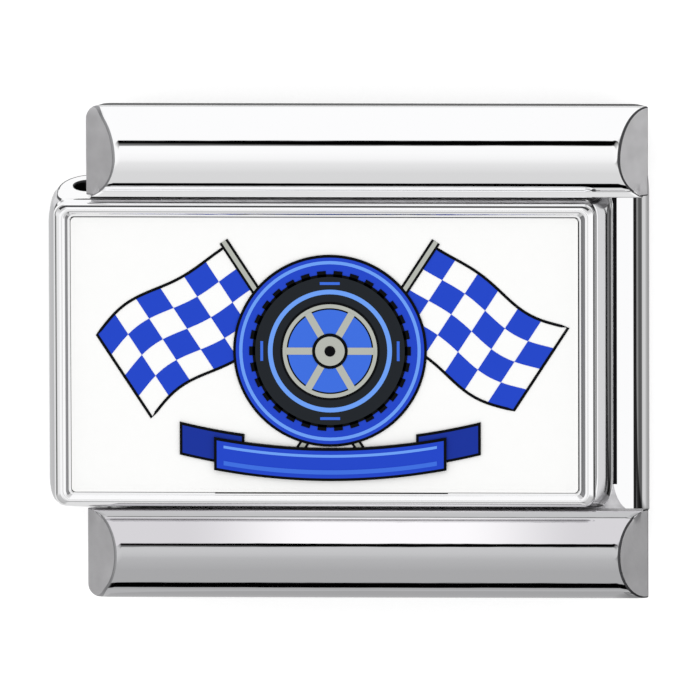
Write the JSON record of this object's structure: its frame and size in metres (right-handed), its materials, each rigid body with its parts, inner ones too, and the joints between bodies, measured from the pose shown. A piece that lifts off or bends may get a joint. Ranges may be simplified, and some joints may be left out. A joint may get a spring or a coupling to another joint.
{
  "type": "charm bracelet link",
  "caption": "Modular steel bracelet link with a white enamel picture face, two spring-loaded sleeves and sliding bows that hook into the neighbouring links.",
  "frame": {"origin": "centre of the bounding box, on the back of the rear sleeve", "axes": "+X along the bracelet, +Y across it, +Z out of the enamel face; the link lies on its back"},
  "size_m": [0.0108, 0.009, 0.0033],
  "materials": {
    "polished_steel": "mirror-polished stainless steel",
    "bow_steel": "mirror-polished stainless steel with satin end cuts",
    "spring_steel": "plain rolled spring steel",
    "white_enamel": "glossy white cold enamel"
  },
  "bodies": {
    "rear_half": {"rear_sleeve": "polished_steel", "rear_spring": "spring_steel"},
    "front_half": {"front_sleeve": "polished_steel", "face_frame": "polished_steel", "enamel_panel": "white_enamel", "front_spring": "spring_steel"},
    "top_bow": {"top_bow": "bow_steel"},
    "bottom_bow": {"bottom_bow": "bow_steel"}
  },
  "joints": [
    {"name": "front_shift", "type": "slide", "parent": "rear_half", "child": "front_half", "axis": [1, 0, 0], "range_m": [0, 0.00128]},
    {"name": "top_bow_slide", "type": "slide", "parent": "rear_half", "child": "top_bow", "axis": [0, 1, 0], "range_m": [0, 0.0012]},
    {"name": "bottom_bow_slide", "type": "slide", "parent": "rear_half", "child": "bottom_bow", "axis": [0, -1, 0], "range_m": [0, 0.0012]}
  ]
}
